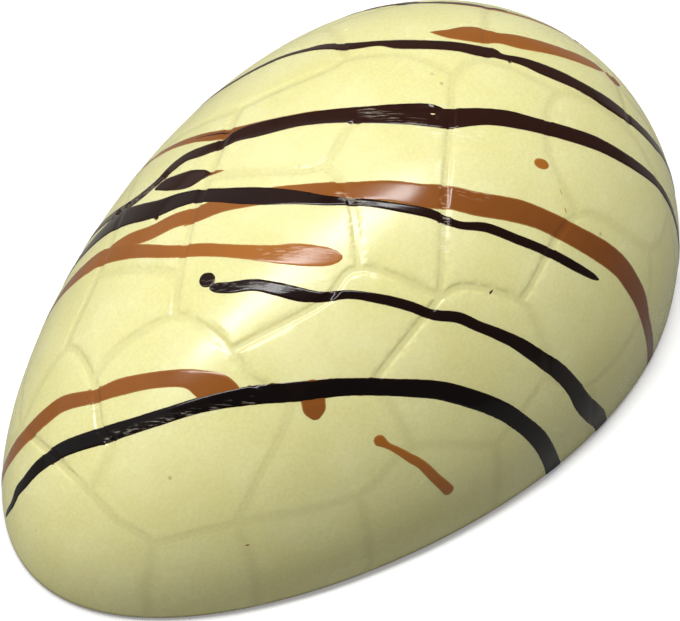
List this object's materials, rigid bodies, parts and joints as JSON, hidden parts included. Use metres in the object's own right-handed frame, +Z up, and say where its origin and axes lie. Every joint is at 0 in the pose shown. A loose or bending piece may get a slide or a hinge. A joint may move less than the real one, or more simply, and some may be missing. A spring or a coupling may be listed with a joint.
{
  "type": "half chocolate egg",
  "caption": "Moulded white chocolate half egg lying on its flat side, its dome broken into crackled panels and crossed by dark and milk chocolate stripes.",
  "frame": {"origin": "middle of the flat side that the half egg rests on", "axes": "+Z up out of the flat side, X along the egg with +X at the blunt end, Y across it"},
  "size_m": [0.07, 0.0442, 0.0236],
  "materials": {
    "white_chocolate": "glossy moulded white chocolate, pale ivory yellow, with faint scuffs",
    "dark_chocolate": "glossy dark chocolate stripe set flush in the white surface",
    "milk_chocolate": "glossy milk chocolate stripe set flush in the white surface"
  },
  "bodies": {
    "root": {"egg_half": "white_chocolate"}
  },
  "joints": []
}
